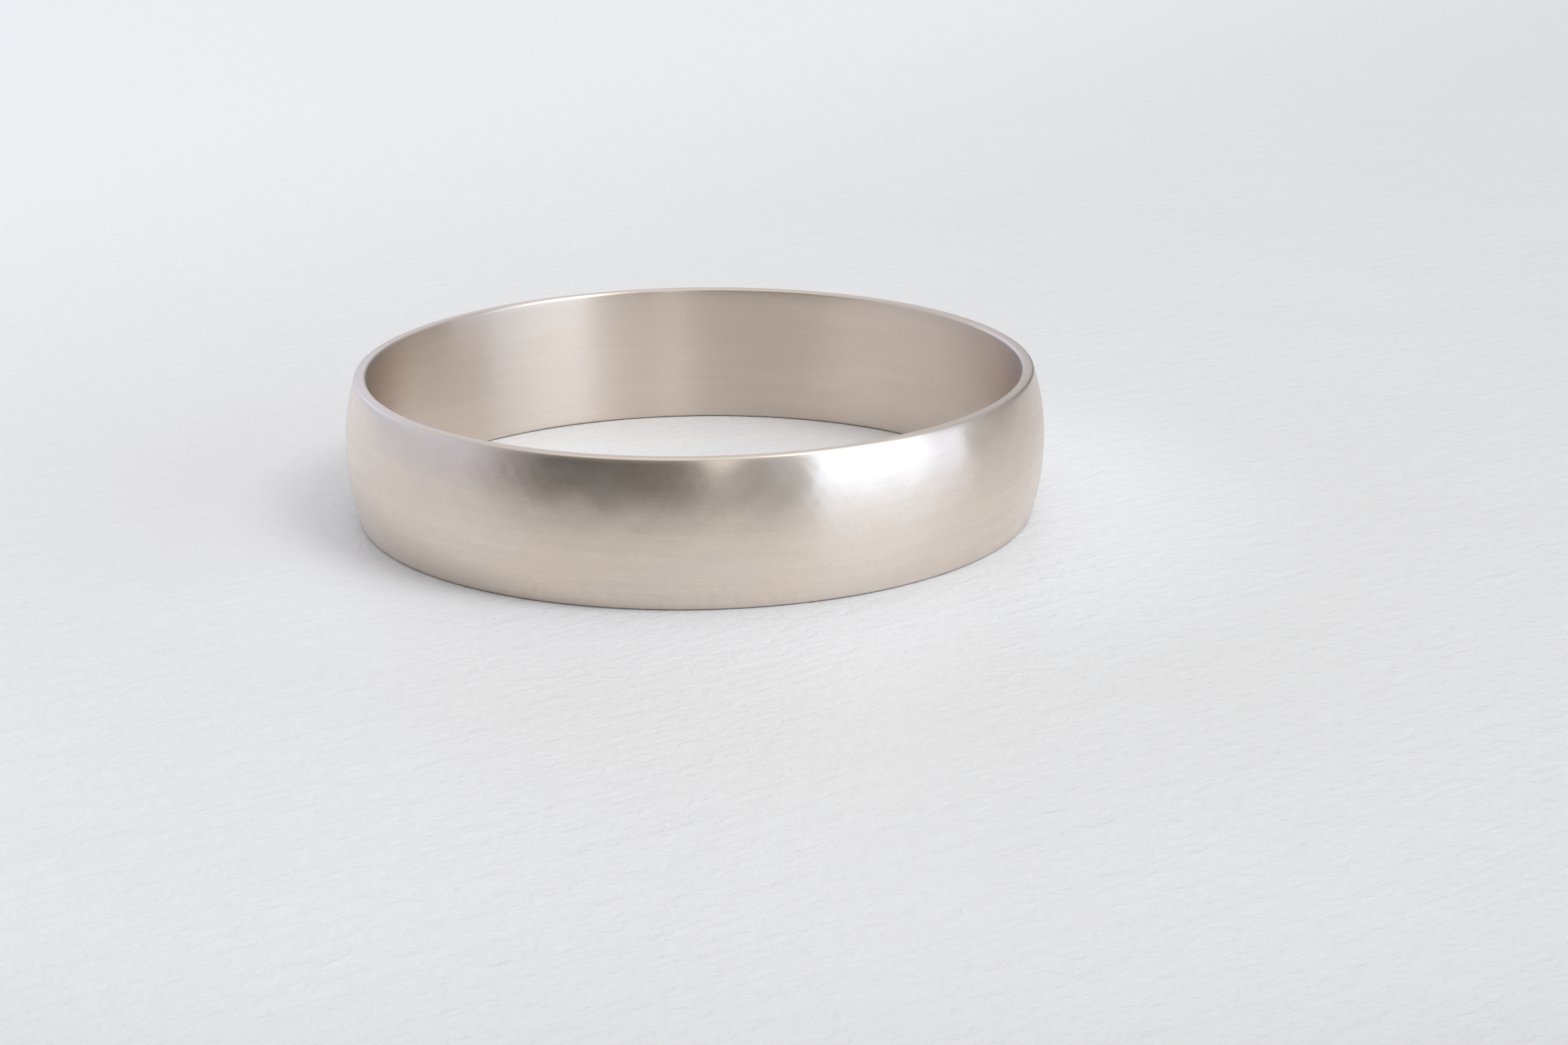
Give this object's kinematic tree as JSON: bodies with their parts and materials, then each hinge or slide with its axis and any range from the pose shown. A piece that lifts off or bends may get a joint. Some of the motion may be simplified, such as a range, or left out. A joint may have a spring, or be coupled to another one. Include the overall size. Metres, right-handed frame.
{
  "type": "wedding band",
  "caption": "Plain wedding band with a low domed outside, a straight bore and narrow eased rims, in satin white gold.",
  "frame": {"origin": "on the bore axis, in the plane of the lower rim, so the band stands on z = 0", "axes": "+Z along the bore axis, the way a finger goes through; the band is the same all the way round, so X and Y are free"},
  "size_m": [0.0194, 0.0194, 0.004],
  "materials": {
    "white_gold": "satin"
  },
  "bodies": {
    "root": {"band": "white_gold"}
  },
  "joints": []
}
